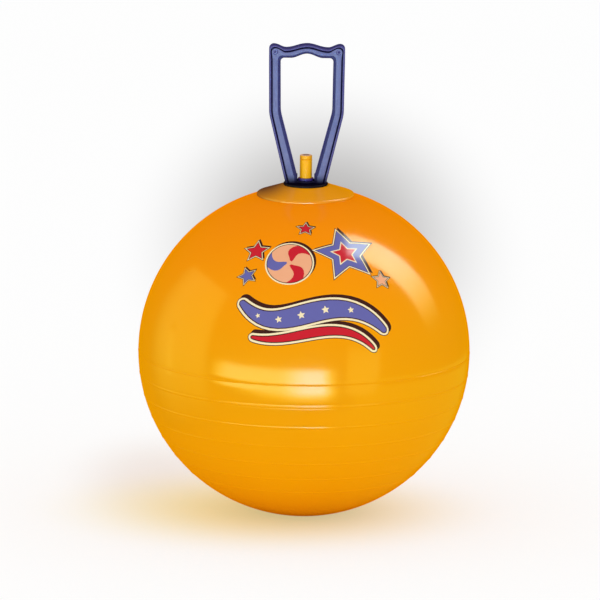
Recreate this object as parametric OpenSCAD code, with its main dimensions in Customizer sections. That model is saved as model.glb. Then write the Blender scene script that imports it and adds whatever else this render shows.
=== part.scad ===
/* [Ball] */
// Diameter of the blown-up ball
ball_d = 450; // [420:1:520]
// Thickness of the vinyl wall
wall_t = 1.6; // [1.2:0.1:3]
// Diameter of the patch that is pressed flat where the ball rests
foot_d = 80; // [60:1:110]
// Number of grip rings on the lower half
ring_count = 6; // [1:1:7]
// Angle from one grip ring to the next, seen from the centre of the ball
ring_step_angle = 7.7; // [6:0.1:8]
// Width of a grip ring
ring_w = 3.4; // [2:0.1:5]
// Height of a grip ring above the ball
ring_h = 0.6; // [0.3:0.1:1]
// Width of the mould seam round the middle
seam_w = 1.6; // [1:0.1:3]
// Height of the mould seam above the ball
seam_h = 0.4; // [0.2:0.1:0.8]

/* [Neck seat] */
// Diameter of the conical shoulder at its rim
shoulder_d = 132; // [110:1:150]
// Height of the shoulder's rim above the ball
rim_t = 3; // [2:0.1:5]
// Rounding of the shoulder's rim
rim_r = 1.2; // [0.5:0.1:1.8]
// Diameter of the flat land under the washer
land_d = 64; // [62:1:76]
// Height of the land above the top of the round ball
land_rise = 4.6; // [3.5:0.1:7]
// Rounding of the land's edge
land_r = 1.5; // [0.5:0.1:2.5]
// Diameter of the upright neck
neck_d = 16.4; // [15:0.1:17.5]
// Height of the neck above the land
neck_h = 35.2; // [28:0.1:45]
// Diameter of the air bore through the neck
bore_d = 9; // [7:0.1:10]
// How far the bead round the neck's mouth stands out
mouth_bead_out = 0.3; // [0.2:0.05:0.4]
// Height of the bead round the neck's mouth
mouth_bead_h = 2; // [1.2:0.1:3]
// Depth of the neck's groove that holds the lock collar
groove_deep = 0.5; // [0.3:0.05:0.7]
// Diameter of the spigot that goes down through the ball's mouth
spigot_d = 27; // [24:1:36]
// How far the spigot reaches past the inside of the ball's wall
spigot_out = 4; // [2:0.5:10]

/* [Slip washer] */
// Diameter of the washer
washer_d = 60; // [59:0.5:61]
// Thickness of the washer
washer_t = 3; // [2:0.1:4]
// Rounding of the washer's rim
washer_edge_r = 0.7; // [0.3:0.1:0.9]

/* [Handle] */
// Height of the handle, from the bottom of its hub to the top of the grip's hump
handle_h = 189.2; // [165:1:220]
// Width of the handle over the grip's corners
top_span = 102.4; // [96:0.2:120]
// Width of the handle over the bends of its legs
bend_span = 100.8; // [94:0.2:116]
// Width of the handle over its feet
foot_span = 55.2; // [53:0.2:57]
// Height of the bends of the legs
bend_h = 94.5; // [75:0.5:110]
// Rounding of the bends
bend_r = 50; // [10:1:60]
// Width of the side limbs
limb_w = 15.7; // [13:0.1:18]
// Depth of the limbs, from front to back
limb_depth = 20; // [16:0.5:20]
// Thickness of the grip at its dips
dip_t = 12.6; // [11:0.1:15]
// How far the grip's dips lie under its hump
dip_drop = 5.5; // [3:0.1:8]
// How far the horns lie under the hump
horn_drop = 0.7; // [0:0.1:2]
// Distance from a horn's top to the side of the handle
horn_in = 6.5; // [5.5:0.1:7.5]
// Distance from the middle of the grip to each dip
dip_out = 28.3; // [25:0.1:31]
// How far the middle of the grip's underside rises
under_rise = 5.9; // [3:0.1:7]
// Half width of the rise in the grip's underside
under_out = 22; // [18:0.5:26]
// Rounding of the loop's upper corners
corner_r = 5; // [3:0.1:8]
// Radius of the bead along the outside of the handle
bead_r = 1.9; // [1.4:0.1:2.2]
// Width of the groove beside the bead
groove_w = 1.4; // [1:0.1:2]
// Depth of the groove below the middle of the panel
limb_groove_deep = 2.3; // [1.5:0.1:3]
// How far the bead's top lies below the middle of the panel
bead_drop = 0.7; // [0.3:0.1:1.2]
// How far the panel's edges lie below its middle
panel_drop = 0.7; // [0.3:0.1:1.2]
// Rounding of the limb's inner edges
inner_edge_r = 2.6; // [1.5:0.1:3]
// Diameter of the dimple in each horned corner
dimple_d = 4.6; // [3:0.1:6]
// Depth of the dimple
dimple_deep = 0.7; // [0.4:0.1:1]
// Diameter of the hub ring round the neck
hub_d = 23.2; // [21.5:0.1:24]
// Thickness of the hub ring
hub_t = 2.5; // [2:0.1:4]
// Depth of the bridge that joins the feet to the hub ring
bridge_depth = 15; // [12:0.5:18]
// Height of the upright cheeks inside the feet
cheek_h = 10.2; // [8:0.1:14]
// Width of the small step above each cheek
cheek_step = 1.2; // [0.6:0.1:2]

/* [Lock collar] */
// Outer diameter of the lock collar
collar_d = 21.2; // [20:0.1:21.6]
// Height of the lock collar
collar_t = 3.3; // [2.5:0.1:4.5]
// Bevel of the collar's upper edges
collar_bevel = 0.7; // [0.3:0.1:0.9]

/* [Plug] */
// Diameter of the plug's head
plug_head_d = 16.6; // [15:0.1:18]
// Height of the plug's head
plug_head_h = 5.2; // [4:0.1:8]
// Bevel round the top of the plug's head
plug_bevel = 1; // [0.5:0.1:1.5]
// Diameter of the dimple in the top of the plug
plug_dimple_d = 9; // [6:0.1:11]
// Depth of the dimple in the top of the plug
plug_dimple_deep = 0.8; // [0.4:0.1:1.5]
// Length of the plug's shank
shank_len = 24; // [18:0.5:27]
// Number of sealing ribs on the shank
shank_rib_count = 4; // [2:1:5]
// Height of a sealing rib above the shank
shank_rib_out = 0.5; // [0.3:0.05:0.8]
// Width of a sealing rib
shank_rib_w = 1.8; // [1:0.1:2.4]

/* [Fits] */
// Radial clearance of a turning or sliding fit
running_gap = 0.05; // [0.02:0.01:0.1]
// Clearance under and over the hub ring, so that the handle turns freely
swivel_gap = 0.3; // [0.2:0.05:0.5]
// Thickness of the bond between the neck seat and the ball
bond_gap = 0.15; // [0.1:0.05:0.3]
// Clearance between the handle's cheeks and the lock collar
cheek_gap = 0.7; // [0.4:0.1:1]
// Gap under the plug's head
plug_gap = 0.2; // [0.1:0.05:0.3]

/* [Hidden] */
$fn = 96;

// How far a cut runs past the faces that it opens
overrun = 1;
// Straight pieces that draw a small rounding
edge_steps = 6;
// Straight pieces that draw a bend of a leg
bend_steps = 8;
// Straight pieces that draw the top of a horn
horn_steps = 9;
// Straight pieces from a horn's top towards the dip
slope_steps = 5;
// Straight pieces of half the grip
grip_steps = 18;
// Straight pieces of the shoulder's hollow underside
under_steps = 12;

// Radius of the ball, and the height of its centre over the floor
ball_r = ball_d / 2;
centre_z = sqrt(ball_r * ball_r - foot_d * foot_d / 4);

// Heights of the stack on top of the ball, over the floor
land_z = centre_z + ball_r + land_rise;
washer_top_z = land_z + washer_t;
hub_z = washer_top_z + swivel_gap;
collar_z = hub_z + hub_t + swivel_gap;
mouth_z = land_z + neck_h;

// Places in the handle, from the bottom of its hub and its middle line
top_half = top_span / 2;
bend_half = bend_span / 2;
foot_half = foot_span / 2;
cheek_half = collar_d / 2 + cheek_gap;
cheek_top = [cheek_half + cheek_step, cheek_h + cheek_step / 2];
dip_z = handle_h - dip_drop;
horn_z = handle_h - horn_drop;
horn_half = top_half - horn_in;
under_z = dip_z - dip_t;
corner_middle = [top_half - limb_w - corner_r, under_z - corner_r];
bend_out = [bend_half, bend_h];
bend_in = [bend_half - limb_w, bend_h + limb_w * 0.1];

function unit(v) = v / norm(v);

// Points of an arc
function arc(middle, radius, from_angle, to_angle, steps) =
    [for (i = [0:steps])
        let (a = from_angle + (to_angle - from_angle) * i / steps)
        middle + radius * [cos(a), sin(a)]];

// Points of the arc that rounds a corner between two straight stretches
function rounded_corner(before, corner, after, radius, steps) =
    let (
        way_in = unit(corner - before),
        way_out = unit(after - corner),
        turn = acos(way_in * way_out),
        side = sign(cross(way_in, way_out)),
        start = corner - way_in * radius * tan(turn / 2),
        middle = start + side * radius * [-way_in.y, way_in.x],
        first = atan2(start.y - middle.y, start.x - middle.x)
    )
    arc(middle, radius, first, first + side * turn, steps);

// Height of the handle's upper outline, inside its horns
function top_at(x) =
    x < dip_out
    ? dip_z + dip_drop * (1 + cos(180 * x / dip_out)) / 2
    : dip_z + (horn_z - dip_z) * (1 - cos(180 * (x - dip_out) / (horn_half - dip_out))) / 2;

// Height of the grip's underside
function under_at(x) =
    x < under_out ? under_z + under_rise * (1 + cos(180 * x / under_out)) / 2 : under_z;

// Distance of a leg's outer face from the middle line
function leg_out_at(z) = foot_half + (bend_half - foot_half) * z / bend_h;

// The right half of the outer outline, from the foot up and over to the middle of the grip
corner_out = concat(
    [[top_half, corner_middle.y], [top_half, (corner_middle.y + horn_z - horn_in) / 2]],
    arc([horn_half, horn_z - horn_in], horn_in, 0, 90, horn_steps),
    [for (i = [1:slope_steps])
        let (x = horn_half + (corner_middle.x - horn_half) * i / slope_steps)
        [x, top_at(x)]]);
outer_half = concat(
    [[foot_half, 0], [leg_out_at(cheek_h), cheek_h], [leg_out_at(cheek_top.y), cheek_top.y]],
    rounded_corner([foot_half, 0], bend_out, [top_half, corner_middle.y], bend_r, bend_steps),
    corner_out,
    [for (i = [1:grip_steps]) let (x = corner_middle.x * (1 - i / grip_steps)) [x, top_at(x)]]);

// The right half of the inner outline, point by point beside the outer one
inner_half = concat(
    [[cheek_half, 0], [cheek_half, cheek_h], cheek_top],
    rounded_corner(cheek_top, bend_in, [top_half - limb_w, corner_middle.y], bend_r, bend_steps),
    arc(corner_middle, corner_r, 0, 90, len(corner_out) - 1),
    [for (i = [1:grip_steps]) let (x = corner_middle.x * (1 - i / grip_steps)) [x, under_at(x)]]);

// Both whole outlines, from the right foot to the left foot
function whole(half) = concat(half, [for (i = [len(half) - 2:-1:0]) [-half[i].x, half[i].y]]);

// Half of a limb's section: distance from the outer edge, and distance from the middle plane
function half_section(width) =
    let (face = limb_depth / 2, panel_start = 2 * bead_r + groove_w)
    concat(
        arc([bead_r, face - bead_drop - bead_r], bead_r, 180, 30, edge_steps),
        [
            [2 * bead_r + groove_w / 3, face - limb_groove_deep],
            [panel_start, face - panel_drop],
            [(panel_start + width - inner_edge_r) / 2, face]
        ],
        arc([width - inner_edge_r, face - panel_drop - inner_edge_r], inner_edge_r, 90, 0, edge_steps));

// A closed section of the limb between a point of the outer outline and its inner neighbour
function section(outside, inside) =
    let (
        across = unit(inside - outside),
        front = half_section(norm(inside - outside)),
        count = len(front)
    )
    [for (i = [0:2 * count - 1])
        let (
            back = i >= count,
            point = back ? front[2 * count - 1 - i] : front[i],
            place = outside + across * point.x
        )
        [place.x, back ? point.y : -point.y, place.y]];

// A solid through equal sections, closed at both ends
module loft(sections) {
    rows = len(sections);
    around = len(sections[0]);
    points = [for (row = sections) each row];
    sides = [for (r = [0:rows - 2]) for (i = [0:around - 1])
        let (a = r * around + i, b = r * around + (i + 1) % around)
        each [[a, b, b + around], [a, b + around, a + around]]];
    first_end = [for (i = [around - 1:-1:0]) i];
    last_end = [for (i = [0:around - 1]) (rows - 1) * around + i];
    polyhedron(points, concat(sides, [first_end, last_end]), convexity = 6);
}

// A round ball with a flat underside
module flat_ball(radius, floor_z) {
    intersection() {
        sphere(r = radius);
        translate([-radius, -radius, floor_z]) cube(2 * radius);
    }
}

// A rounded ring round the ball, at an angle above or below its middle
module ball_ring(angle, width, height) {
    round_r = (width * width / 4 + height * height) / (2 * height);
    reach = ball_r + height - round_r;
    translate([0, 0, reach * sin(angle)])
        rotate_extrude()
        translate([reach * cos(angle), 0])
        circle(r = round_r);
}

module ball_shell() {
    foot_z = -centre_z;
    mouth_r = spigot_d / 2 + bond_gap;
    color("orange")
    translate([0, 0, centre_z])
    difference() {
        union() {
            flat_ball(ball_r, foot_z);
            ball_ring(0, seam_w, seam_h);
            for (i = [1:ring_count]) ball_ring(-i * ring_step_angle, ring_w, ring_h);
        }
        flat_ball(ball_r - wall_t, foot_z + wall_t);
        cylinder(r = mouth_r, h = ball_r + overrun);
    }
}

module neck_seat() {
    rim_half = shoulder_d / 2;
    spigot_half = spigot_d / 2;
    under_r = ball_r + bond_gap;
    rim_angle = asin(rim_half / under_r);
    spigot_angle = asin(spigot_half / under_r);
    spigot_z = centre_z + ball_r - wall_t - spigot_out;
    rim_foot = [rim_half, centre_z + under_r * cos(rim_angle)];
    rim_top = rim_foot + [0, rim_t];
    land_edge = [land_d / 2, land_z];
    neck_r = neck_d / 2;
    groove_r = neck_r - groove_deep;
    bead_out_r = neck_r + mouth_bead_out;
    outline = concat(
        [
            [0, spigot_z],
            [spigot_half - groove_deep, spigot_z],
            [spigot_half, spigot_z + spigot_out / 2]
        ],
        [for (i = [0:under_steps])
            let (a = spigot_angle + (rim_angle - spigot_angle) * i / under_steps)
            [under_r * sin(a), centre_z + under_r * cos(a)]],
        rounded_corner(rim_foot, rim_top, land_edge, rim_r, edge_steps),
        rounded_corner(rim_top, land_edge, [0, land_z], land_r, edge_steps),
        [
            [neck_r, land_z],
            [neck_r, collar_z - bond_gap],
            [groove_r, collar_z - bond_gap],
            [groove_r, collar_z + collar_t + bond_gap],
            [neck_r, collar_z + collar_t + bond_gap],
            [neck_r, mouth_z - mouth_bead_h],
            [bead_out_r, mouth_z - mouth_bead_h * 0.7],
            [bead_out_r, mouth_z - mouth_bead_h * 0.3],
            [neck_r, mouth_z],
            [0, mouth_z]
        ]);
    color("goldenrod")
    difference() {
        rotate_extrude() polygon(outline);
        translate([0, 0, spigot_z - overrun])
            cylinder(d = bore_d, h = mouth_z - spigot_z + 2 * overrun);
    }
}

module slip_washer() {
    half = washer_d / 2;
    inner = neck_d / 2 + mouth_bead_out;
    outline = concat(
        [[inner, land_z]],
        rounded_corner([inner, land_z], [half, land_z], [half, washer_top_z], washer_edge_r, edge_steps),
        rounded_corner(
            [half, land_z], [half, washer_top_z], [inner, washer_top_z], washer_edge_r, edge_steps),
        [[inner, washer_top_z]]);
    color("#15131f") rotate_extrude() polygon(outline);
}

// The loop of the handle, with its legs, as one moulded limb
module handle_loop() {
    outer = whole(outer_half);
    inner = whole(inner_half);
    loft([for (i = [0:len(outer) - 1]) section(outer[i], inner[i])]);
}

module handle() {
    dimple_at = [horn_half - horn_in / 4, horn_z - horn_in * 1.35];
    floor_y = limb_depth / 2 - dimple_deep;
    bridge_half = cheek_half + inner_edge_r;
    color("slateblue")
    translate([0, 0, hub_z])
    difference() {
        union() {
            handle_loop();
            cylinder(d = hub_d, h = hub_t);
            translate([-bridge_half, -bridge_depth / 2, 0])
                cube([2 * bridge_half, bridge_depth, hub_t]);
        }
        translate([0, 0, -overrun])
            cylinder(r = neck_d / 2 + running_gap, h = hub_t + 2 * overrun);
        for (side = [-1, 1]) for (face = [-1, 1])
            translate([side * dimple_at.x, face * floor_y, dimple_at.y])
            rotate([-90 * face, 0, 0])
            cylinder(d1 = dimple_d * 0.7, d2 = dimple_d, h = dimple_deep + overrun);
    }
}

module lock_collar() {
    half = collar_d / 2;
    inner = neck_d / 2 - groove_deep + bond_gap;
    top_z = collar_z + collar_t;
    color("darkslateblue")
    rotate_extrude()
    polygon([
        [inner, collar_z],
        [half, collar_z],
        [half, top_z - collar_bevel],
        [half - collar_bevel, top_z],
        [inner + collar_bevel, top_z],
        [inner, top_z - collar_bevel]
    ]);
}

module plug() {
    seat_z = mouth_z + plug_gap;
    top_z = seat_z + plug_head_h;
    head_r = plug_head_d / 2;
    rib_r = bore_d / 2 - running_gap;
    shank_r = rib_r - shank_rib_out;
    dimple_r = plug_dimple_d / 2;
    rib_step = shank_len / (shank_rib_count + 1);
    color("gold")
    union() {
        rotate_extrude()
        polygon([
            [0, seat_z - shank_len],
            [shank_r * 0.7, seat_z - shank_len],
            [shank_r, seat_z - shank_len + shank_r],
            [shank_r, seat_z],
            [head_r - plug_bevel / 2, seat_z],
            [head_r, seat_z + plug_bevel / 2],
            [head_r, top_z - plug_bevel],
            [head_r - plug_bevel, top_z],
            [dimple_r, top_z],
            [dimple_r - plug_dimple_deep, top_z - plug_dimple_deep],
            [0, top_z - plug_dimple_deep]
        ]);
        for (i = [1:shank_rib_count])
            translate([0, 0, seat_z - i * rib_step])
            rotate_extrude()
            polygon([
                [0, -shank_rib_w / 2],
                [shank_r, -shank_rib_w / 2],
                [rib_r, 0],
                [rib_r, shank_rib_w / 4],
                [shank_r, shank_rib_w / 2],
                [0, shank_rib_w / 2]
            ]);
    }
}

ball_shell();
neck_seat();
slip_washer();
handle();
lock_collar();
plug();
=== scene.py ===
"""Looks of a hopper ball: a blown-up vinyl ball, its neck moulding, and a loop handle that turns on it."""

import math

import bmesh
import bpy
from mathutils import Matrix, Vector


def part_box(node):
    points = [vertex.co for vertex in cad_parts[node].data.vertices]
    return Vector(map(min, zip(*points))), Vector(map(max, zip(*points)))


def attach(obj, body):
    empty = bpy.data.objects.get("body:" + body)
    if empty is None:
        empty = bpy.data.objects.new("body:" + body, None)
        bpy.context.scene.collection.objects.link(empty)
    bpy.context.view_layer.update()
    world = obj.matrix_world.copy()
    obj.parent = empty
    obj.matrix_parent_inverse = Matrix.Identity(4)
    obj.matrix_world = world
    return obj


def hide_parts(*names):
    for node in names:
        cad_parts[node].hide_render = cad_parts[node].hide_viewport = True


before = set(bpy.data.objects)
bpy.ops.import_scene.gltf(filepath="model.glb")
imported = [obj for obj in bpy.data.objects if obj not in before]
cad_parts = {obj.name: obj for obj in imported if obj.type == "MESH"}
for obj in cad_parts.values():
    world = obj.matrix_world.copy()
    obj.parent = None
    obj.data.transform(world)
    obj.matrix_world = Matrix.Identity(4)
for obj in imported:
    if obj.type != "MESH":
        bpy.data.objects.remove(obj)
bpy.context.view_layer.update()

MM = 0.001
X, Y, Z = (1, 0, 0), (0, 1, 0), (0, 0, 1)
UP = Vector(Z)

# The ball, its neck moulding and the stack on the neck, as in the CAD part
BALL_R = 225 * MM
WALL_T = 1.6 * MM
FOOT_R = 40 * MM
CENTRE_Z = math.sqrt(BALL_R ** 2 - FOOT_R ** 2)
CENTRE = Vector((0, 0, CENTRE_Z))
RING_COUNT = 6
RING_STEP = math.radians(7.7)
RING_W = 3.4 * MM
RING_H = 0.4 * MM
SEAM_W = 1.4 * MM
SEAM_H = 0.3 * MM
MOUTH_R = 13.65 * MM

FIT_GAP = 0.15 * MM     # between parts that are bonded, or held in a groove
TURN_GAP = 0.05 * MM    # between parts that turn or slide
SHOULDER_R = 66 * MM
RIM_T = 3 * MM
LAND_R = 32 * MM
NECK_R = 8.2 * MM
BORE_R = 4.5 * MM
GROOVE_R = 7.7 * MM
SPIGOT_R = 13.5 * MM
WASHER_R = 30 * MM
WASHER_BORE_R = 8.5 * MM
COLLAR_R = 10.6 * MM
PLUG_R = 8.3 * MM
DIMPLE_R = 4.6 * MM
SHANK_L = 24 * MM
RIB_COUNT = 4

LAND_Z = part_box("slip_washer")[0].z
WASHER_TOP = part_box("slip_washer")[1].z
HUB_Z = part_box("handle")[0].z
COLLAR_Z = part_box("lock_collar")[0].z
COLLAR_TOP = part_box("lock_collar")[1].z
MOUTH_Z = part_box("neck_seat")[1].z
SPIGOT_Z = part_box("neck_seat")[0].z
PLUG_FOOT, PLUG_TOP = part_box("plug")[0].z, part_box("plug")[1].z
PLUG_SEAT = PLUG_TOP - 5.2 * MM

# The handle's outline, from the bottom of its hub and its middle line
HANDLE_H = 189.2 * MM
TOP_HALF = 51.2 * MM
BEND_HALF = 50.4 * MM
FOOT_HALF = 27.6 * MM
BEND_H = 94.5 * MM
BEND_R = 50 * MM
LIMB_W = 15.7 * MM
LIMB_DEPTH = 20 * MM
DIP_Z = HANDLE_H - 5.5 * MM
DIP_OUT = 28.3 * MM
HORN_Z = HANDLE_H - 0.7 * MM
HORN_IN = 6.5 * MM
HORN_HALF = TOP_HALF - HORN_IN
UNDER_Z = DIP_Z - 12.6 * MM
UNDER_RISE = 5.9 * MM
UNDER_OUT = 22 * MM
CORNER_R = 5 * MM
CORNER = Vector((TOP_HALF - LIMB_W - CORNER_R, UNDER_Z - CORNER_R))
CHEEK_HALF = 11.3 * MM
CHEEK_H = 10.2 * MM
CHEEK_STEP = 1.2 * MM
BEAD_R = 1.9 * MM
GROOVE_W = 1.4 * MM
GROOVE_DEEP = 2.3 * MM
BEAD_DROP = 0.7 * MM
PANEL_DROP = 0.7 * MM
INNER_EDGE_R = 2.6 * MM
HUB_R = 11.6 * MM
HUB_T = 2.5 * MM
BRIDGE_DEPTH = 15 * MM
# Height above the hub over which the handle's painted shade fades out
HUB_SHADE_H = 14 * MM
HORN_DIMPLE_R = 2.6 * MM
HORN_CURL_R = 3.6 * MM


# ---------------------------------------------------------------- modelling

def deselect():
    if bpy.context.object and bpy.context.object.mode != "OBJECT":
        bpy.ops.object.mode_set(mode="OBJECT")
    bpy.ops.object.select_all(action="DESELECT")


def draw_outline(points):
    """A new mesh in edit mode: one vertex, extruded from point to point."""
    deselect()
    bpy.ops.mesh.primitive_plane_add(size=MM, location=(0, 0, 0), enter_editmode=True)
    bpy.ops.mesh.merge(type="CENTER")
    bpy.ops.transform.translate(value=points[0])
    for here, there in zip(points, points[1:]):
        bpy.ops.mesh.extrude_region_move(TRANSFORM_OT_translate={"value": there - here})
    return bpy.context.object


def close_mesh(merge=1e-6):
    bpy.ops.mesh.select_all(action="SELECT")
    bpy.ops.mesh.remove_doubles(threshold=merge)
    bpy.ops.mesh.normals_make_consistent(inside=False)
    bpy.ops.object.mode_set(mode="OBJECT")


def smooth(piece, degrees=32):
    deselect()
    piece.select_set(True)
    bpy.context.view_layer.objects.active = piece
    bpy.ops.object.shade_smooth_by_angle(angle=math.radians(degrees))


def turned(name, outline, steps=192, degrees=32):
    """A round piece: its outline, a list of (radius, height), is drawn and spun round the neck's axis."""
    piece = draw_outline([Vector((radius, 0, height)) for radius, height in outline])
    bpy.ops.mesh.select_all(action="SELECT")
    bpy.ops.mesh.spin(steps=steps, angle=2 * math.pi, center=(0, 0, 0), axis=Z)
    close_mesh()
    piece.name = name
    smooth(piece, degrees)
    return piece


def swept(name, sections, bands):
    """A limb: a closed section is extruded from station to station, and each end is a face.
    Each side of the section has its band, the number of its finish."""
    deselect()
    bpy.ops.mesh.primitive_circle_add(
        vertices=len(sections[0]), radius=MM, fill_type="NGON", enter_editmode=True)
    piece = bpy.context.object
    for i, section in enumerate(sections):
        if i:
            bpy.ops.mesh.extrude_region_move()
        cage = bmesh.from_edit_mesh(piece.data)
        end = next(face for face in cage.faces if face.select)
        for corner, place, band in zip(end.loops, section, bands):
            corner.vert.co = place
            for side in corner.edge.link_faces:
                if side is not end:
                    side.material_index = band
        end.material_index = 0
        bmesh.update_edit_mesh(piece.data)
    bpy.ops.mesh.select_all(action="SELECT")
    bpy.ops.mesh.normals_make_consistent(inside=False)
    bpy.ops.object.mode_set(mode="OBJECT")
    piece.name = name
    return piece


def settled():
    """The object that was just added, with its place, turn and size in its mesh."""
    bpy.ops.object.transform_apply(location=True, rotation=True, scale=True)
    return bpy.context.object


def apply_to(piece, modifier):
    deselect()
    piece.select_set(True)
    bpy.context.view_layer.objects.active = piece
    bpy.ops.object.modifier_apply(modifier=modifier.name)


def carve(piece, tool, operation="DIFFERENCE"):
    """Cuts the tool out of the piece, or joins it on, and takes the tool away."""
    cut = piece.modifiers.new("Carve", "BOOLEAN")
    cut.operation = operation
    cut.solver = "EXACT"
    cut.object = tool
    apply_to(piece, cut)
    bpy.data.objects.remove(tool)


def around(middle, reach, angle):
    """A point at a distance and an angle, in radians, from a middle."""
    return middle[0] + reach * math.cos(angle), middle[1] + reach * math.sin(angle)


def arc(middle, radius, start, end, steps):
    """Points of an arc, angles in degrees."""
    turns = [math.radians(start + (end - start) * i / steps) for i in range(steps + 1)]
    return [Vector(around(middle, radius, turn)) for turn in turns]


def rounded_corner(before, corner, after, radius, steps):
    """Points of the arc that rounds a corner between two straight stretches."""
    before, corner, after = Vector(before), Vector(corner), Vector(after)
    way_in = (corner - before).normalized()
    way_out = (after - corner).normalized()
    turn = math.acos(max(-1, min(1, way_in.dot(way_out))))
    side = 1 if way_in.cross(way_out) > 0 else -1
    start = corner - way_in * radius * math.tan(turn / 2)
    middle = start + side * radius * Vector((-way_in.y, way_in.x))
    first = math.degrees(math.atan2(start.y - middle.y, start.x - middle.x))
    return arc(middle, radius, first, first + side * math.degrees(turn), steps)


# ---------------------------------------------------------------- the pieces

def on_ball(latitude, rise=0.0):
    """(radius, height) of a point of the ball's outline."""
    reach = BALL_R + rise
    return reach * math.cos(latitude), CENTRE_Z + reach * math.sin(latitude)


RIDGES = [(0.0, SEAM_W, SEAM_H)] + [(-k * RING_STEP, RING_W, RING_H) for k in range(1, RING_COUNT + 1)]


def ridge_rise(latitude):
    """How far the skin stands out at a latitude: each ring is a soft ridge between two shallow lines."""
    rise = 0.0
    for middle, width, height in RIDGES:
        share = abs(latitude - middle) * BALL_R / (width / 2)
        if share < 1:
            rise += height * (1 + math.cos(math.pi * share)) / 2
        elif share < 2:
            rise -= 0.25 * height * math.sin(math.pi * (share - 1)) ** 2
    return rise


def make_ball_skin():
    """The ball's wall with its ridges, its mouth, and a flat foot that rolls into the sphere."""
    foot_roll = math.radians(1.6)
    ridge_steps = 12
    start = foot_roll - math.asin(CENTRE_Z / BALL_R)
    end = math.acos(MOUTH_R / BALL_R)
    latitudes = {start, end}
    step = math.radians(2)
    latitudes.update(start + step * i for i in range(1, int((end - start) / step) + 1))
    for middle, width, _height in RIDGES:
        near = width / BALL_R
        latitudes = {a for a in latitudes if abs(a - middle) > 1.1 * near or a in (start, end)}
        latitudes.update(middle + near * k / ridge_steps for k in range(-ridge_steps, ridge_steps + 1))
    outline = [(0, 0), (FOOT_R * 0.5, 0), (FOOT_R * 0.86, 0), (FOOT_R * 0.93, 0.02 * MM), (FOOT_R, 0.13 * MM)]
    outline += [on_ball(a, ridge_rise(a)) for a in sorted(latitudes) if start <= a <= end]
    inner_end = math.acos(MOUTH_R / (BALL_R - WALL_T))
    inner_start = -math.asin((CENTRE_Z - WALL_T) / (BALL_R - WALL_T))
    inner_steps = 60
    outline += [
        on_ball(inner_end + (inner_start - inner_end) * i / inner_steps, -WALL_T)
        for i in range(inner_steps + 1)]
    outline.append((0, WALL_T))
    return turned("ball_skin", outline, steps=240, degrees=40)


def make_neck_moulding():
    under_r = BALL_R + FIT_GAP
    rim_angle = math.asin(SHOULDER_R / under_r)
    spigot_angle = math.asin(SPIGOT_R / under_r)
    rim_foot = (SHOULDER_R, CENTRE_Z + under_r * math.cos(rim_angle))
    rim_top = (SHOULDER_R, rim_foot[1] + RIM_T)
    land_edge = (LAND_R, LAND_Z)
    rim_round, land_round, fillet, bead_r, lip = 2.6 * MM, 1.5 * MM, 1 * MM, 1 * MM, 0.5 * MM
    outline = [(BORE_R, SPIGOT_Z), (SPIGOT_R - lip, SPIGOT_Z), (SPIGOT_R, SPIGOT_Z + 2 * MM)]
    under_steps = 24
    for i in range(under_steps + 1):
        angle = spigot_angle + (rim_angle - spigot_angle) * i / under_steps
        outline.append((under_r * math.sin(angle), CENTRE_Z + under_r * math.cos(angle)))
    outline += rounded_corner(rim_foot, rim_top, land_edge, rim_round, 10)
    outline += rounded_corner(rim_top, land_edge, (0, LAND_Z), land_round, 8)
    outline += arc((NECK_R + fillet, LAND_Z + fillet), fillet, 270, 180, 5)
    outline += [
        (NECK_R, COLLAR_Z - FIT_GAP), (GROOVE_R, COLLAR_Z - FIT_GAP),
        (GROOVE_R, COLLAR_TOP + FIT_GAP), (NECK_R, COLLAR_TOP + FIT_GAP)]
    outline += arc((NECK_R - 0.7 * MM, MOUTH_Z - bead_r), bead_r, -38, 38, 8)
    outline += arc((NECK_R - 0.6 * MM, MOUTH_Z - lip), lip, 40, 90, 4)
    outline += [(BORE_R + lip, MOUTH_Z), (BORE_R, MOUTH_Z - lip), (BORE_R, SPIGOT_Z)]
    return turned("neck_moulding", outline, steps=160)


def make_washer():
    edge = 0.9 * MM
    inner_edge = 0.4 * MM
    outline = [(WASHER_BORE_R, LAND_Z)]
    outline += arc((WASHER_R - edge, LAND_Z + edge), edge, 270, 360, 6)
    outline += arc((WASHER_R - edge, WASHER_TOP - edge), edge, 0, 90, 6)
    outline += arc((WASHER_BORE_R + inner_edge, WASHER_TOP - inner_edge), inner_edge, 90, 180, 4)
    outline.append((WASHER_BORE_R, LAND_Z))
    return turned("washer_disc", outline, steps=128)


def make_collar():
    inner = GROOVE_R + FIT_GAP
    foot_edge = 0.3 * MM
    edge = 0.7 * MM
    outline = [(inner, COLLAR_Z)]
    outline += arc((COLLAR_R - foot_edge, COLLAR_Z + foot_edge), foot_edge, 270, 360, 3)
    outline += arc((COLLAR_R - edge, COLLAR_TOP - edge), edge, 0, 90, 6)
    outline += arc((inner + edge, COLLAR_TOP - edge), edge, 90, 180, 4)
    outline.append((inner, COLLAR_Z))
    return turned("snap_collar", outline, steps=128)


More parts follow.
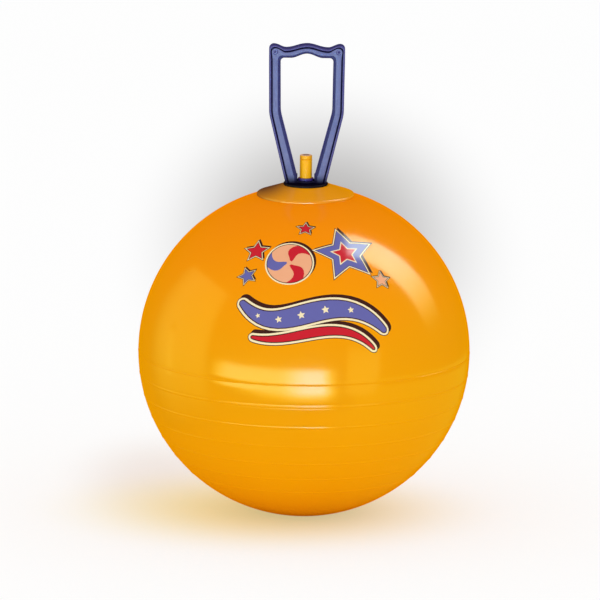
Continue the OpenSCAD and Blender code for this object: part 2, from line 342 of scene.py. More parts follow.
def make_plug():
    head_edge = 1.1 * MM
    foot_edge = 0.5 * MM
    rib_r = BORE_R - TURN_GAP
    shank_r = rib_r - 0.5 * MM
    outline = [(0, PLUG_FOOT), (shank_r * 0.6, PLUG_FOOT)]
    outline += arc((shank_r * 0.6, PLUG_FOOT + shank_r * 0.4), shank_r * 0.4, 270, 360, 6)
    for i in range(RIB_COUNT, 0, -1):
        rib_z = PLUG_SEAT - i * SHANK_L / (RIB_COUNT + 1)
        outline += [
            (shank_r, rib_z - 0.9 * MM), (rib_r - 0.1 * MM, rib_z - 0.15 * MM), (rib_r, rib_z + 0.1 * MM),
            (rib_r - 0.05 * MM, rib_z + 0.4 * MM), (shank_r, rib_z + 0.9 * MM)]
    outline.append((shank_r, PLUG_SEAT))
    outline += arc((PLUG_R - foot_edge, PLUG_SEAT + foot_edge), foot_edge, 270, 360, 4)
    outline += arc((PLUG_R - head_edge, PLUG_TOP - head_edge), head_edge, 0, 90, 8)
    outline += arc((DIMPLE_R + 0.4 * MM, PLUG_TOP - 0.4 * MM), 0.4 * MM, 90, 150, 4)
    outline += arc((DIMPLE_R - 1.2 * MM, PLUG_TOP + 0.2 * MM), 1 * MM, 320, 270, 5)
    outline.append((0, PLUG_TOP - 0.8 * MM))
    return turned("plug_stopper", outline, steps=96)


# The handle's loop is one limb between an outer and an inner outline

def top_at(x):
    """Height of the upper outline inside the horns."""
    if x < DIP_OUT:
        return DIP_Z + (HANDLE_H - DIP_Z) * (1 + math.cos(math.pi * x / DIP_OUT)) / 2
    share = (x - DIP_OUT) / (HORN_HALF - DIP_OUT)
    return DIP_Z + (HORN_Z - DIP_Z) * (1 - math.cos(math.pi * share)) / 2


def under_at(x):
    """Height of the grip's underside."""
    if x < UNDER_OUT:
        return UNDER_Z + UNDER_RISE * (1 + math.cos(math.pi * x / UNDER_OUT)) / 2
    return UNDER_Z


def loop_outlines():
    """The right half of the outer and the inner outline, point beside point,
    from the foot to the middle of the grip."""
    foot_steps, bend_steps, side_steps, horn_steps, slope_steps, grip_steps = 4, 16, 6, 12, 8, 36
    leg_slope = (BEND_HALF - FOOT_HALF) / BEND_H
    cheek_top = Vector((CHEEK_HALF + CHEEK_STEP, CHEEK_H + CHEEK_STEP / 2))
    side_low = Vector((TOP_HALF, CORNER.y))
    outer = [Vector((FOOT_HALF + leg_slope * CHEEK_H * i / foot_steps, CHEEK_H * i / foot_steps))
             for i in range(foot_steps + 1)]
    inner = [Vector((CHEEK_HALF, CHEEK_H * i / foot_steps)) for i in range(foot_steps + 1)]
    outer.append(Vector((FOOT_HALF + leg_slope * cheek_top.y, cheek_top.y)))
    inner.append(cheek_top)
    outer += rounded_corner((FOOT_HALF, 0), (BEND_HALF, BEND_H), side_low, BEND_R, bend_steps)
    inner += rounded_corner(
        cheek_top, (BEND_HALF - LIMB_W, BEND_H + LIMB_W * 0.1), (TOP_HALF - LIMB_W, CORNER.y),
        BEND_R, bend_steps)
    corner = [side_low + (Vector((TOP_HALF, HORN_Z - HORN_IN)) - side_low) * i / side_steps
              for i in range(side_steps)]
    corner += arc((HORN_HALF, HORN_Z - HORN_IN), HORN_IN, 0, 90, horn_steps)
    for i in range(1, slope_steps + 1):
        x = HORN_HALF + (CORNER.x - HORN_HALF) * i / slope_steps
        corner.append(Vector((x, top_at(x))))
    outer += corner
    inner += arc(CORNER, CORNER_R, 0, 90, len(corner) - 1)
    for i in range(1, grip_steps + 1):
        x = CORNER.x * (1 - i / grip_steps)
        outer.append(Vector((x, top_at(x))))
        inner.append(Vector((x, under_at(x))))
    return outer, inner


# The finishes of the limb's bands
SIDE, BEAD, GROOVE, PANEL, EDGE = range(5)
HALF_BANDS = [SIDE] * 3 + [BEAD] * 4 + [GROOVE] * 6 + [PANEL] * 6 + [EDGE] * 6 + [SIDE] * 3


def half_section(width):
    """Half of the limb's section: distance from the outer edge, and distance from the middle plane."""
    face = LIMB_DEPTH / 2
    panel = 2 * BEAD_R + GROOVE_W
    crown = width - INNER_EDGE_R
    points = arc((BEAD_R, face - BEAD_DROP - BEAD_R), BEAD_R, 180, 28, 9)
    points += [
        Vector((2 * BEAD_R + GROOVE_W * 0.1, face - GROOVE_DEEP + 0.25 * MM)),
        Vector((2 * BEAD_R + GROOVE_W * 0.35, face - GROOVE_DEEP)),
        Vector((2 * BEAD_R + GROOVE_W * 0.6, face - GROOVE_DEEP + 0.3 * MM)),
        Vector((panel - 0.2 * MM, face - PANEL_DROP - 0.35 * MM)),
        Vector((panel + 0.2 * MM, face - PANEL_DROP + 0.05 * MM))]
    crown_steps = 6
    for i in range(1, crown_steps):
        share = i / crown_steps
        points.append(Vector((panel + (crown - panel) * share, face - PANEL_DROP * (2 * share - 1) ** 2)))
    points += arc((crown, face - PANEL_DROP - INNER_EDGE_R), INNER_EDGE_R, 90, 0, 7)
    points.append(Vector((width, (face - PANEL_DROP - INNER_EDGE_R) / 2)))
    return points


def loop_section(outside, inside):
    """The closed section between a point of the outer outline and its inner neighbour."""
    across = (inside - outside).normalized()
    front = half_section((inside - outside).length)
    ring = [(p, -1) for p in front] + [(p, 1) for p in reversed(front)]
    places = []
    for point, side in ring:
        spot = outside + across * point.x
        places.append(Vector((spot.x, side * point.y, HUB_Z + spot.y)))
    return places


def make_handle():
    outer, inner = loop_outlines()
    outer += [Vector((-p.x, p.y)) for p in reversed(outer[:-1])]
    inner += [Vector((-p.x, p.y)) for p in reversed(inner[:-1])]
    piece = swept(
        "loop_handle", [loop_section(a, b) for a, b in zip(outer, inner)],
        HALF_BANDS + [SIDE] + list(reversed(HALF_BANDS)) + [SIDE])

    hub_middle = (0, 0, HUB_Z + HUB_T / 2)
    deselect()
    bpy.ops.mesh.primitive_cube_add(
        size=1, location=hub_middle, scale=(2 * (CHEEK_HALF + INNER_EDGE_R), BRIDGE_DEPTH, HUB_T))
    bridge = settled()
    deselect()
    bpy.ops.mesh.primitive_cylinder_add(vertices=96, radius=HUB_R, depth=HUB_T, location=hub_middle)
    carve(bridge, settled(), "UNION")
    carve(piece, bridge, "UNION")
    deselect()
    bpy.ops.mesh.primitive_cylinder_add(
        vertices=96, radius=NECK_R + TURN_GAP, depth=4 * HUB_T, location=(0, 0, HUB_Z))
    carve(piece, settled())

    # A dimple with a fine curl round it, on both faces of each horned corner
    dimple_x, dimple_z = HORN_HALF - HORN_IN / 4, HUB_Z + HORN_Z - HORN_IN * 1.35
    for side in (-1, 1):
        for face in (-1, 1):
            deselect()
            bpy.ops.mesh.primitive_uv_sphere_add(
                segments=32, ring_count=16, radius=HORN_DIMPLE_R,
                location=(side * dimple_x, face * (LIMB_DEPTH / 2 + 1.6 * MM), dimple_z))
            carve(piece, settled())
            deselect()
            bpy.ops.mesh.primitive_torus_add(
                major_segments=48, minor_segments=12, major_radius=HORN_CURL_R, minor_radius=0.55 * MM,
                location=(side * dimple_x, face * (LIMB_DEPTH / 2 + 0.1 * MM), dimple_z),
                rotation=(math.pi / 2, 0, 0))
            carve(piece, settled())
    smooth(piece, 35)
    return piece


# ---------------------------------------------------------------- the print

# The middle of the print on the ball, and the print's own right and up there
PRINT_OUT = Vector((0.055, -math.cos(math.radians(37)), math.sin(math.radians(37)))).normalized()
PRINT_RIGHT = UP.cross(PRINT_OUT).normalized()
PRINT_UP = PRINT_OUT.cross(PRINT_RIGHT)
FILM_T = 0.08 * MM


def lay_on_ball(piece, rise):
    """Bends a flat piece of film round the ball, and gives it its thickness."""
    for vertex in piece.data.vertices:
        right, up = vertex.co.x, vertex.co.y
        length = math.hypot(right, up)
        angle = length / BALL_R
        away = PRINT_OUT * math.cos(angle)
        if length:
            away += (PRINT_RIGHT * right + PRINT_UP * up) / length * math.sin(angle)
        vertex.co = CENTRE + away * (BALL_R + rise)
    skin = piece.modifiers.new("Film", "SOLIDIFY")
    skin.thickness = FILM_T
    skin.offset = -1
    apply_to(piece, skin)


def film_patch(points, rise, cuts=5):
    """A piece of film with a closed outline, in millimetres from the middle of the print."""
    piece = draw_outline([Vector((x * MM, y * MM, 0)) for x, y in points])
    bpy.ops.mesh.select_all(action="SELECT")
    bpy.ops.mesh.edge_face_add()
    bpy.ops.mesh.quads_convert_to_tris(ngon_method="BEAUTY")
    bpy.ops.mesh.subdivide(number_cuts=cuts)
    bpy.ops.object.mode_set(mode="OBJECT")
    lay_on_ball(piece, rise)
    return piece


def film_ribbon(pairs, rise):
    """A strip of film between two rows of points, made by extruding its end."""
    deselect()
    bpy.ops.mesh.primitive_plane_add(size=MM, enter_editmode=True)
    piece = bpy.context.object
    bpy.ops.mesh.select_all(action="DESELECT")
    cage = bmesh.from_edit_mesh(piece.data)
    cage.verts.ensure_lookup_table()
    corners = [vertex.index for vertex in cage.faces[:][0].verts]
    places = [pairs[0][0], pairs[0][1], pairs[1][1], pairs[1][0]]
    for index, place in zip(corners, places):
        cage.verts[index].co = (place[0] * MM, place[1] * MM, 0)
    end = [cage.verts[corners[3]], cage.verts[corners[2]]]
    for vertex in end:
        vertex.select = True
    cage.select_flush(True)
    bmesh.update_edit_mesh(piece.data)
    for low, high in pairs[2:]:
        bpy.ops.mesh.extrude_edges_move()
        cage = bmesh.from_edit_mesh(piece.data)
        lifted = [vertex for vertex in cage.verts if vertex.select]
        lifted.sort(key=lambda vertex: vertex.index)
        for vertex, place in zip(lifted, (low, high)):
            vertex.co = (place[0] * MM, place[1] * MM, 0)
        bmesh.update_edit_mesh(piece.data)
    bpy.ops.mesh.select_all(action="SELECT")
    bpy.ops.mesh.normals_make_consistent(inside=False)
    bpy.ops.mesh.subdivide(number_cuts=5)
    bpy.ops.object.mode_set(mode="OBJECT")
    lay_on_ball(piece, rise)
    return piece


def star_points(middle, radius, turn, waist=0.48, points=5):
    """Outline of a star, turned by degrees."""
    return [
        around(middle, radius if i % 2 == 0 else radius * waist, math.radians(90 + turn) + math.pi * i / points)
        for i in range(2 * points)]


def disc_points(middle, radius, steps=40):
    return [around(middle, radius, 2 * math.pi * i / steps) for i in range(steps)]


def vane_points(middle, radius, start, end, steps=8, bow=0.5):
    """Outline of a bowed vane of a disc between two angles."""
    bows = [bow * math.sin(math.pi * k / steps) for k in range(steps)]
    rim = [around(middle, radius, start + (end - start) * k / steps) for k in range(steps + 1)]
    inward = [around(middle, radius * (1 - k / steps), end + bows[k]) for k in range(1, steps)]
    outward = [around(middle, radius * k / steps, start + bows[k]) for k in range(1, steps)]
    return rim + inward + outward


def bezier(corners, share):
    """Point of a cubic curve, and its direction."""
    a, b, c, d = (Vector(p) for p in corners)
    rest = 1 - share
    spot = a * rest ** 3 + b * 3 * rest ** 2 * share + c * 3 * rest * share ** 2 + d * share ** 3
    way = (b - a) * rest ** 2 + (c - b) * 2 * rest * share + (d - c) * share ** 2
    return spot, way.normalized()


def swoosh_pairs(corners, half_width, margin=0.0, shift=(0, 0), steps=30):
    """Both sides of a tapered swoosh with round ends along a curve, grown by a margin all round."""
    marks = [bezier(corners, i / 40)[0] for i in range(41)]
    reach = sum((there - here).length for here, there in zip(marks, marks[1:]))
    pairs = []
    for i in range(steps + 1):
        share = (1 - math.cos(math.pi * i / steps)) / 2
        spot, way = bezier(corners, share)
        spot = spot + Vector(shift) + way * margin * (2 * share - 1)
        left = min(share, 1 - share) * (reach + 2 * margin)
        cap = 1.5 + margin
        blunt = math.sqrt(max(0.0004, 1 - (1 - min(1, left / cap)) ** 2))
        width = half_width * math.sin(math.pi * (0.03 + 0.94 * share)) ** 0.6 + margin
        side = Vector((-way.y, way.x)) * width * blunt
        pairs.append((spot + side, spot - side))
    return pairs


def make_print():
    """Stars, a pinwheel ball and two swooshes, printed in five inks."""
    inks = {"shadow": [], "cream": [], "blue": [], "red": [], "peach": []}
    low, shadow, cream, line, colour = 0.04 * MM, 0.06 * MM, 0.11 * MM, 0.135 * MM, 0.16 * MM
    mark, top, raised = 0.19 * MM, 0.21 * MM, 0.23 * MM

    def patch(ink, points, rise):
        inks[ink].append(film_patch(points, rise))

    def ribbon(ink, pairs, rise):
        inks[ink].append(film_ribbon(pairs, rise))

    def star(middle, radius, turn, ink, edge=3.2, drop=(3.4, 3.0)):
        grow = edge / 0.62
        patch("shadow", star_points(middle, radius + grow + 1.8, turn), low)
        patch("shadow", star_points((middle[0] + drop[0], middle[1] + drop[1]), radius + grow, turn), shadow)
        patch("cream", star_points(middle, radius + grow, turn), cream)
        patch("shadow", star_points(middle, radius + 1.6, turn), line)
        patch(ink, star_points(middle, radius, turn), colour)

    def swoosh(corners, half_width, ink):
        ribbon("shadow", swoosh_pairs(corners, half_width, 5.0), low)
        ribbon("shadow", swoosh_pairs(corners, half_width, 4.0, (4.0, 4.5)), shadow)
        ribbon("cream", swoosh_pairs(corners, half_width, 4.0), cream)
        ribbon("shadow", swoosh_pairs(corners, half_width, 1.3), line)
        ribbon(ink, swoosh_pairs(corners, half_width), colour)

    wave = [(-100, -22), (-48, -104), (20, 4), (100, -66)]
    swoosh(wave, 13, "blue")
    for share, radius in ((0.14, 3.6), (0.3, 5), (0.46, 5.6), (0.62, 5.6), (0.78, 4.6)):
        patch("cream", star_points(bezier(wave, share)[0], radius, 10), top)
    swoosh([(-88, -74), (-30, -98), (30, -44), (84, -92)], 5.5, "red")

    star((44, 42), 40, 14, "blue")
    patch("cream", star_points((44, 42), 21, 14), mark)
    patch("red", star_points((44, 42), 17.5, 14), raised)
    star((-76, 52), 15, -10, "red", 2.4, (2.4, 2.2))
    star((94, 8), 11, 8, "peach", 2.0, (2, 1.8))
    star((-8, 84), 10, -6, "red", 2.0, (2, 1.8))
    star((-90, 14), 11, 12, "blue", 2.0, (2, 1.8))

    middle, radius = (-32, 26), 30
    patch("shadow", disc_points((middle[0] + 3, middle[1] + 3), radius + 3), shadow)
    patch("cream", disc_points(middle, radius + 3), cream)
    patch("shadow", disc_points(middle, radius + 1), line)
    patch("peach", disc_points(middle, radius), colour)
    for i, ink in enumerate(("red", "blue", "red")):
        patch(ink, vane_points(middle, radius, math.radians(20 + 120 * i), math.radians(66 + 120 * i)), top)
    return inks


def joined(name, parts):
    deselect()
    for part in parts:
        part.select_set(True)
    bpy.context.view_layer.objects.active = parts[0]
    bpy.ops.object.join()
    parts[0].name = name
    return parts[0]


# ---------------------------------------------------------------- materials

WHITE = (1, 1, 1, 1)


def material(name):
    """A new material, its tree and its shader."""
    made = bpy.data.materials.new(name)
    made.use_nodes = True
    return made, made.node_tree, made.node_tree.nodes["Principled BSDF"]


def feed(tree, node, inputs):
    """Each input of a node gets its value, or a link from the output that is given for it."""
    for socket, value in inputs.items():
        if isinstance(value, bpy.types.NodeSocket):
            tree.links.new(value, node.inputs[socket])
        else:
            node.inputs[socket].default_value = value
    return node


def add(tree, kind, inputs):
    return feed(tree, tree.nodes.new("ShaderNode" + kind), inputs)


def given_by(tree, kind, output):
    """An output of a new node that takes no input."""
    return tree.nodes.new("ShaderNode" + kind).outputs[output]


def parts_of(tree, vector):
    return add(tree, "SeparateXYZ", {"Vector": vector}).outputs


def maths(tree, operation, *values):
    node = add(tree, "Math", dict(enumerate(values)))
    node.operation = operation
    return node.outputs[0]


def along(tree, place, way):
    """How far a place lies in a direction."""
    node = add(tree, "VectorMath", {0: place, 1: way})
    node.operation = "DOT_PRODUCT"
    return node.outputs["Value"]


def fade(tree, value, none, full, least=0.0, most=1.0, kind="SMOOTHSTEP"):
    """Goes from least to most as the value goes from none to full."""
    node = add(tree, "MapRange", {
        "Value": value, "From Min": none, "From Max": full, "To Min": least, "To Max": most})
    node.interpolation_type = kind
    return node.outputs["Result"]


def mixed(tree, share, plain, other):
    """A share of the other colour on the plain one."""
    node = tree.nodes.new("ShaderNodeMix")
    node.data_type = "RGBA"
    return feed(tree, node, {"Factor": share, 6: plain, 7: other}).outputs[2]


def ramp(tree, value, stops, kind="LINEAR"):
    """A colour that goes from stop to stop; the first stop is at 0 and the last at 1."""
    node = add(tree, "ValToRGB", {"Fac": value})
    node.color_ramp.interpolation = kind
    elements = node.color_ramp.elements
    elements[0].color, elements[1].color = stops[0][1], stops[-1][1]
    for spot, tone in stops[1:-1]:
        elements.new(spot).color = tone
    return node.outputs["Color"]


def noise(tree, place, scale, detail, rough=0.5):
    return add(tree, "TexNoise", {
        "Vector": place, "Scale": scale, "Detail": detail, "Roughness": rough}).outputs["Fac"]


def soft_patch(tree, middle, radii, name, most):
    """A mask seen from above: most in the middle of an ellipse, 0 outside it."""
    shift = tree.nodes.new("ShaderNodeMapping")
    shift.name = name
    shift.vector_type = "TEXTURE"
    feed(tree, shift, {
        "Location": (*middle, 0), "Scale": (*radii, 1000), "Vector": given_by(tree, "TexCoord", "Object")})
    away = add(tree, "VectorMath", {0: shift.outputs["Vector"]})
    away.operation = "LENGTH"
    return maths(tree, "MULTIPLY", fade(tree, away.outputs["Value"], 1, 0, kind="SMOOTHERSTEP"), most)


def dress(piece, *finishes):
    """Gives a piece its finishes, and keeps which face has which."""
    bands = [face.material_index for face in piece.data.polygons]
    piece.data.materials.clear()
    for finish in finishes:
        piece.data.materials.append(finish)
    for face, band in zip(piece.data.polygons, bands):
        face.material_index = min(band, len(finishes) - 1)


def make_surface_group():
    """Moulded plastic: soft clouding of a colour, pale specks, fine scuffs in the roughness, and a grain."""
    group = bpy.data.node_groups.new("Moulded surface", "ShaderNodeTree")
    face = group.interface
    for name in ("Colour", "Deep colour", "Speck colour"):
        face.new_socket(name, in_out="INPUT", socket_type="NodeSocketColor")
    for name, value in (("Cloud scale", 6.0), ("Cloud share", 0.5), ("Roughness", 0.3), ("Scuff share", 0.1),
                        ("Grain scale", 900.0), ("Grain depth", 0.1), ("Speck share", 0.0)):
        face.new_socket(name, in_out="INPUT", socket_type="NodeSocketFloat").default_value = value
    for name, kind in (("Colour", "Color"), ("Roughness", "Float"), ("Normal", "Vector")):
        face.new_socket(name, in_out="OUTPUT", socket_type="NodeSocket" + kind)
    given = group.nodes.new("NodeGroupInput").outputs
    place = given_by(group, "TexCoord", "Object")
    cloud = maths(group, "MULTIPLY", noise(group, place, given["Cloud scale"], 3), given["Cloud share"])
    clouded = mixed(group, cloud, given["Colour"], given["Deep colour"])
    specks = fade(group, noise(group, place, 420, 3), 0.52, 0.72)
    speckled = mixed(
        group, maths(group, "MULTIPLY", specks, given["Speck share"]), clouded, given["Speck colour"])
    scuffs = noise(group, place, 45, 6, 0.65)
    bump = add(group, "Bump", {
        "Distance": 0.05 * MM, "Height": noise(group, place, given["Grain scale"], 2),
        "Strength": given["Grain depth"]})
    feed(group, group.nodes.new("NodeGroupOutput"), {
        "Colour": speckled,
        "Roughness": maths(group, "MULTIPLY_ADD", scuffs, given["Scuff share"], given["Roughness"]),
        "Normal": bump.outputs["Normal"]})
    return group


SURFACE = make_surface_group()
# How far a face is turned away where a calm rim's gloss has gone, and where it is full
EDGE_ON, FACE_ON = 0.85, 0.05


def moulded(name, colour, deep, roughness, specular=0.5, cloud_scale=6.0, cloud_share=0.5, scuff=0.1,
            grain_scale=900.0, grain_depth=0.1, speck=(1, 1, 1), speck_share=0.0, calm_rim=False):
    """A vinyl or plastic finish. With a calm rim it has less gloss where it is seen edge on."""
    made, tree, shader = material(name)
    skin = tree.nodes.new("ShaderNodeGroup")
    skin.node_tree = SURFACE
    feed(tree, skin, {
        "Colour": (*colour, 1), "Deep colour": (*deep, 1), "Cloud scale": cloud_scale,
        "Cloud share": cloud_share, "Roughness": roughness, "Scuff share": scuff, "Grain scale": grain_scale,
        "Grain depth": grain_depth, "Speck colour": (*speck, 1), "Speck share": speck_share})
    feed(tree, shader, {
        "Base Color": skin.outputs["Colour"], "Roughness": skin.outputs["Roughness"],
        "Normal": skin.outputs["Normal"], "Specular IOR Level": specular})
    if calm_rim:
        facing = given_by(tree, "LayerWeight", "Facing")
        feed(tree, shader, {"Specular IOR Level": fade(tree, facing, EDGE_ON, FACE_ON, 0, specular)})
    return made, tree, shader, skin


def make_ball_finish():
    """Blown vinyl with painted light by height: bright at the foot to offset the floor's shade, and deeper
    orange towards the top as painted shade.
    """
    made, tree, shader, skin = moulded(
        "Orange ball vinyl", (0.9, 0.36, 0), (0.86, 0.27, 0), 0.11, specular=0.45, cloud_scale=4.5,
        cloud_share=0.35, scuff=0.05, grain_scale=350, grain_depth=0.03, calm_rim=True)
    # Painted light: the colour ramps with height, lifting the foot and deepening the top
    height = parts_of(tree, given_by(tree, "TexCoord", "Object"))["Z"]
    feed(tree, skin, {"Colour": ramp(tree, fade(tree, height, 0, 2 * BALL_R, kind="LINEAR"), (
        (0, (1, 0.4, 0, 1)), (0.25, (0.9, 0.385, 0, 1)), (0.5, (0.82, 0.365, 0, 1)),
        (0.75, (0.91, 0.32, 0, 1)), (1, (0.95, 0.225, 0, 1))), "B_SPLINE")})
    feed(tree, shader, {"Specular Tint": (1, 0.9, 0.6, 1)})
    return made


def make_shoulder_finish():
    """Satin vinyl, with painted shade at the left of the handle's foot."""
    made, tree, shader, skin = moulded(
        "Shoulder vinyl", (0.85, 0.325, 0.001), (0.68, 0.225, 0.001), 0.17, specular=0.6, cloud_scale=14,
        scuff=0.1, grain_depth=0.12, calm_rim=True)
    # Painted shade: a dark brown patch in place of the handle's shadow on the shoulder's left side
    shoulder_shade = soft_patch(tree, (-50 * MM, 16 * MM), (64 * MM, 100 * MM), "Painted shade at the foot", 0.95)
    feed(tree, shader, {"Base Color": mixed(tree, shoulder_shade, skin.outputs["Colour"], (0.11, 0.038, 0.019, 1))})
    return made


def make_handle_finishes():
    """One blue plastic in five tones, in the order of the limb's bands: lit and shaded copies, with a painted
    sheen on the pale panel and painted shade in the groove and on the inner edge. The flat faces have pale worn
    specks, and all tones carry painted shade near the hub and on faces that point up or down."""
    # Side and bead are the plastic's own blue; the panel's paleness is a painted sheen, and the groove and edge
    # tones are painted shade
    tones = (
        ("Handle side plastic", (0.075, 0.072, 0.28), (0.042, 0.04, 0.19), 0.4, 0.12, 0.2),
        ("Handle bead plastic", (0.1, 0.095, 0.31), (0.06, 0.056, 0.22), 0.4, 0.12, 0.1),
        ("Handle groove painted shade", (0.004, 0.002, 0.05), (0.003, 0.002, 0.03), 0.5, 0.1, 0.0),
        ("Handle panel painted sheen", (0.205, 0.235, 0.475), (0.09, 0.115, 0.31), 0.45, 0.09, 0.3),
        ("Handle edge painted shade", (0.04, 0.042, 0.17), (0.02, 0.02, 0.11), 0.45, 0.08, 0.1))
    finishes = []
    for name, colour, deep, rough, gloss, worn in tones:
        made, tree, shader, skin = moulded(
            name, colour, deep, rough, specular=gloss, cloud_scale=45, cloud_share=1.0, scuff=0.15,
            grain_scale=1400, grain_depth=0.25, speck=(0.28, 0.3, 0.5), speck_share=worn, calm_rim=True)
        height = parts_of(tree, given_by(tree, "TexCoord", "Object"))["Z"]
        steep = maths(tree, "ABSOLUTE", parts_of(tree, given_by(tree, "TexCoord", "Normal"))["Z"])
        # Painted shade: darker towards the hub, where the legs meet it, and on faces that point up or down
        painted_shade = maths(
            tree, "MAXIMUM", fade(tree, height, HUB_Z + HUB_SHADE_H, HUB_Z, 0, 0.95),
            fade(tree, steep, 0.35, 1, 0, 0.5))
        feed(tree, shader, {
            "Base Color": mixed(tree, painted_shade, skin.outputs["Colour"], (0.006, 0.004, 0.03, 1))})
        finishes.append(made)
    return finishes


# ---------------------------------------------------------------- build

ball_skin = make_ball_skin()
dress(ball_skin, make_ball_finish())
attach(ball_skin, "ball")
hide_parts("ball_shell")

neck = make_neck_moulding()
for face in neck.data.polygons:
    face.material_index = 1 if face.center.z > LAND_Z + 0.3 * MM else 0
dress(neck, make_shoulder_finish(), moulded(
    "Neck vinyl", (1, 0.5, 0.001), (0.95, 0.42, 0.001), 0.3, specular=0.15, cloud_scale=60)[0])
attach(neck, "ball")
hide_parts("neck_seat")

washer = make_washer()
dress(washer, moulded(
    "Black washer plastic", (0.003, 0.002, 0.01), (0.006, 0.004, 0.016), 0.4, specular=0.1, cloud_scale=40,
    scuff=0.15, calm_rim=True)[0])
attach(washer, "ball")
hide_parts("slip_washer")

collar = make_collar()
dress(collar, moulded(
    "Dark blue collar plastic", (0.045, 0.022, 0.24), (0.02, 0.012, 0.14), 0.22, specular=0.35, cloud_scale=80,
    scuff=0.15)[0])
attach(collar, "ball")
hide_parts("lock_collar")

plug = make_plug()
# The plug's top: a painted highlight on its rim and painted shade in its dimple
for face in plug.data.polygons:
    reach = math.hypot(face.center.x, face.center.y)
    if face.center.z > PLUG_TOP - 1.2 * MM and reach < PLUG_R - 0.4 * MM:
        face.material_index = 2 if reach < DIMPLE_R + 0.4 * MM else 1
dress(plug, *(
    moulded(name, colour, deep, rough, specular=gloss, cloud_scale=scale, scuff=scuff)[0]
    for name, colour, deep, rough, gloss, scale, scuff in (
        ("Plug vinyl", (0.97, 0.47, 0.005), (0.88, 0.38, 0.005), 0.3, 0.2, 70, 0.15),
        ("Plug rim painted highlight", (0.8, 0.5, 0.32), (0.7, 0.36, 0.16), 0.45, 0.3, 200, 0.2),
        ("Plug dimple painted shade", (0.3, 0.2, 0.16), (0.2, 0.13, 0.1), 0.5, 0.2, 200, 0.2))))
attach(plug, "plug")
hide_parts("plug")

handle = make_handle()
dress(handle, *make_handle_finishes())
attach(handle, "handle")
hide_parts("handle")

INK_TONES = {
    "shadow": ((0.035, 0.008, 0.012), (0.02, 0.006, 0.01), "dark_ink"),
    "cream": ((0.9, 0.8, 0.52), (0.85, 0.7, 0.4), "cream_ink"),
    "blue": ((0.115, 0.13, 0.4), (0.1, 0.11, 0.36), "blue_ink"),
    "red": ((0.58, 0.008, 0.03), (0.52, 0.006, 0.025), "red_ink"),
    "peach": ((0.85, 0.42, 0.24), (0.8, 0.36, 0.18), "peach_ink"),
}
for ink, parts in make_print().items():
    tone, deep, slot_name = INK_TONES[ink]
    film = joined("print_" + ink, parts)
    dress(film, moulded(
        ink.capitalize() + " ink", tone, deep, 0.11, specular=0.45, cloud_scale=60, scuff=0.05,
        grain_scale=350, grain_depth=0.03, calm_rim=True)[0])
    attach(film, "ball")


# ---------------------------------------------------------------- camera, light and floor

PHOTO_SIDE = 600
FOCAL_PX = 7362.6
CAMERA_REACH = 10.0
CAMERA_TILT = math.radians(12)
CAMERA_ROLL = math.radians(0.6)
BALL_AT_PX = Vector((304.5, 350.4))
SENSOR_W = 36


def make_camera():
    """The photograph's view, with the ball's centre at its place in the picture."""
    bpy.ops.object.camera_add()
    camera = bpy.context.object
    camera.name = "Photo camera"
    camera.data.sensor_width = SENSOR_W
    camera.data.lens = FOCAL_PX / PHOTO_SIDE * SENSOR_W
    camera.data.clip_end = 100
    away = Vector((0, -math.cos(CAMERA_TILT), math.sin(CAMERA_TILT)))
    right = Vector(X)
    upward = right.cross(-away)
    spot = CENTRE + away * CAMERA_REACH
    off = (Vector((PHOTO_SIDE / 2, PHOTO_SIDE / 2)) - BALL_AT_PX) * CAMERA_REACH / FOCAL_PX
    aim = CENTRE + right * off.x - upward * off.y
    camera.location = spot
    camera.rotation_euler = (aim - spot).to_track_quat("-Z", "Y").to_euler()
    camera.rotation_euler.rotate_axis("Z", CAMERA_ROLL)
    bpy.context.scene.camera = camera


def softbox(name, direction, reach, width, height, power):
    """A flat lamp that looks at the ball from a direction, and that gloss doesn't see."""
    data = bpy.data.lights.new(name, "AREA")
    data.shape = "RECTANGLE"
    data.size = width
    data.size_y = height
    data.energy = power
    lamp = bpy.data.objects.new(name, data)
    bpy.context.scene.collection.objects.link(lamp)
    way = Vector(direction).normalized()
    lamp.location = CENTRE + way * reach
    lamp.rotation_euler = (-way).to_track_quat("-Z", "Y").to_euler()
    lamp.visible_glossy = False


def make_floor():
    deselect()
    bpy.ops.mesh.primitive_plane_add(size=24, location=(0, 0, -0.3 * MM))
    floor = bpy.context.object
    floor.name = "floor"
    made, tree, shader = material("Pale floor")
    tone = WHITE
    # Painted light on the floor: a grey painted shadow behind the ball, painted shade at its left, and a
    # painted orange bounce round its foot
    for name, middle, radii, colour, most in (
            ("Painted shadow behind", (0.028, 1.93), (0.365, 1.72), (0.46, 0.45, 0.445), 1.0),
            ("Shade at the left", (-0.2, 0.2), (0.17, 0.36), (0.85, 0.76, 0.7), 0.6),
            ("Painted orange bounce under", (-0.05, 0), (0.36, 0.31), (0.94, 0.8, 0.4), 1.0)):
        tone = mixed(tree, soft_patch(tree, middle, radii, name, most), tone, (*colour, 1))
    # The view sees half of the floor's white as its own glow, so the shadow on it stays pale
    seen = given_by(tree, "LightPath", "Is Camera Ray")
    paint = tree.nodes.new("ShaderNodeVectorMath")
    paint.operation = "SCALE"
    feed(tree, paint, {0: tone, "Scale": fade(tree, seen, 0, 1, 0.94, 0.42, "LINEAR")})
    # From below, the floor is clear
    below = given_by(tree, "NewGeometry", "Backfacing")
    feed(tree, shader, {
        "Base Color": paint.outputs["Vector"], "Emission Color": tone,
        "Emission Strength": maths(tree, "MULTIPLY", seen, 0.58), "Roughness": 0.9,
        "Specular IOR Level": 0, "Alpha": maths(tree, "SUBTRACT", 1, below)})
    dress(floor, made)
    floor.visible_glossy = False


DIM_GLOW = (0.75, 1, 0.1, 1)
YELLOW_GREEN = (0.85, 1, 0.15)


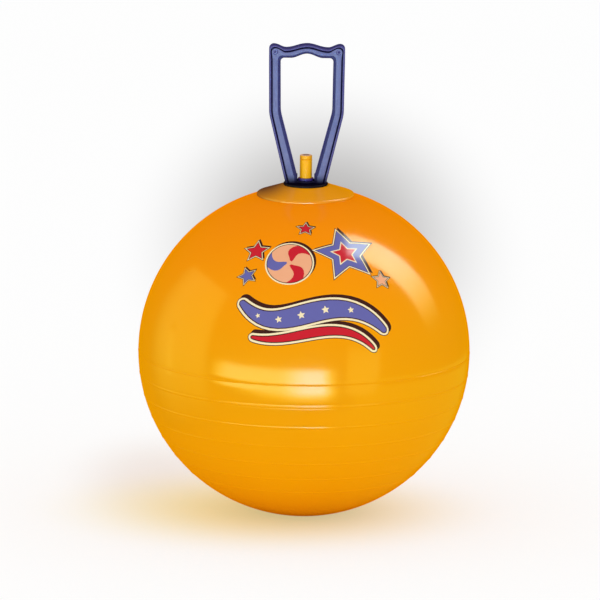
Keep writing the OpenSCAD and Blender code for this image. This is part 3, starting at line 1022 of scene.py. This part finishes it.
def make_card(name, corners, tint, glow, fades, whiten=1.0):
    """A bright card that only gloss sees. Each fade is measured along one direction, or by the ratio
    of two, and dims the card from full to its least share. Where it is dim it is yellow, and it
    turns to its own tint the later the more it is whitened."""
    deselect()
    bpy.ops.mesh.primitive_plane_add(size=1, location=(0, 0, 0))
    card = bpy.context.object
    card.name = name
    ring = [card.data.loops[i].vertex_index for i in card.data.polygons[0].loop_indices]
    for index, corner in zip(ring, corners):
        card.data.vertices[index].co = corner
    made, tree, shader = material(name)
    place = given_by(tree, "TexCoord", "Object")
    share = 1
    for way, beside, none, full, least in fades:
        measure = along(tree, place, way)
        if beside:
            measure = maths(tree, "DIVIDE", measure, along(tree, place, beside))
        share = maths(tree, "MULTIPLY", share, fade(tree, measure, none, full, least))
    feed(tree, shader, {
        "Base Color": (0, 0, 0, 1),
        "Emission Color": mixed(tree, maths(tree, "POWER", share, whiten), DIM_GLOW, (*tint, 1)),
        "Emission Strength": maths(tree, "MULTIPLY", share, glow)})
    dress(card, made)
    card.visible_camera = False
    card.visible_diffuse = False
    card.visible_shadow = False


def make_cards():
    """What the gloss shows: a long window at the upper right, a bright floor in front, a pale wall
    and a strip of light at the left, and a pane at the right of the bright floor."""
    way = Vector((0.76, 0.215, 0.616)).normalized()
    turn = (-way).to_track_quat("-Z", "Y")
    right, upward = turn @ Vector(X), turn @ Vector(Y)
    middle = CENTRE + way * 4
    half_w, half_h = 0.72, 2.35
    window = [
        middle + right * x * half_w + upward * y * half_h for x, y in ((-1, -1), (1, -1), (1, 1), (-1, 1))]
    low = middle.dot(upward) - half_h
    make_card("long_window", window, (0.95, 1.05, 1), 11, [(upward, None, low - 0.3, low + 3.0, 0)])
    make_card(
        "bright_floor", ((-1.3, -0.5, MM), (0.3, -0.5, MM), (3.1, -5.6, 0.2), (-12.5, -4.8, 0.17)),
        (0.4, 1, 1.5), 12.5, [
            (Y, None, -0.6, -0.84, 0), (Y, None, -5.5, -3.0, 0), (X, Y, 2.3, 1.15, 0),
            (X, Y, 0.32, -0.05, 0.6), (X, Y, -0.44, -0.18, 0)], whiten=2.6)
    make_card(
        "pale_wall", ((-1.15, 1.07, -0.7), (-1.15, -0.55, -0.7), (-1.15, -0.54, 1.19), (-1.15, 0.6, 0.98)),
        YELLOW_GREEN, 2.3, [
            (Y, None, 0.85, 0.2, 0.1), (Y, None, -0.55, -0.4, 0.6), (Z, None, -0.7, 0.3, 0)])
    make_card(
        "light_strip", ((-1.1, 0.2, MM), (-1.1, 0.09, MM), (-1.1, 0.11, 0.4), (-1.1, 0.2, 0.4)),
        YELLOW_GREEN, 3.0, [(Z, None, 0.42, 0.3, 0)])
    make_card(
        "right_pane", ((0.33, -0.72, MM), (0.57, -0.58, MM), (0.96, -0.79, 0.45), (0.59, -1.09, 0.51)),
        YELLOW_GREEN, 2.1, [(Z, None, 0.6, 0.2, 0.5)])


def make_world():
    """Even white light. What gloss sees is a dim warm studio, with the lit floor at its right side."""
    world = bpy.data.worlds.new("Studio")
    bpy.context.scene.world = world
    world.use_nodes = True
    tree = world.node_tree
    way = parts_of(tree, given_by(tree, "TexCoord", "Generated"))
    dim = (0.7, 0.26, 0.01, 1)
    lit_floor = ramp(tree, fade(tree, way["Z"], -1, 1, kind="LINEAR"), (
        (0, (0.7, 0.35, 0.01, 1)), (0.2, (1, 0.8, 0.05, 1)), (0.36, (1.1, 1.2, 0.08, 1)),
        (0.402, (1.1, 1.3, 0.08, 1)), (0.408, dim), (1, dim)))
    studio = mixed(tree, fade(tree, way["X"], 0, 0.5), dim, lit_floor)
    glossy = given_by(tree, "LightPath", "Is Glossy Ray")
    feed(tree, tree.nodes["Background"], {"Strength": 0.97, "Color": mixed(tree, glossy, WHITE, studio)})


make_camera()
make_floor()
make_world()
softbox("Right key", (0.95, 0.2, 0.1), reach=3.0, width=1.6, height=1.6, power=1.5)
softbox("Low fill", (0, -0.95, -0.06), reach=1.8, width=1.8, height=0.16, power=4)
make_cards()
bpy.context.scene.view_settings.view_transform = "Standard"
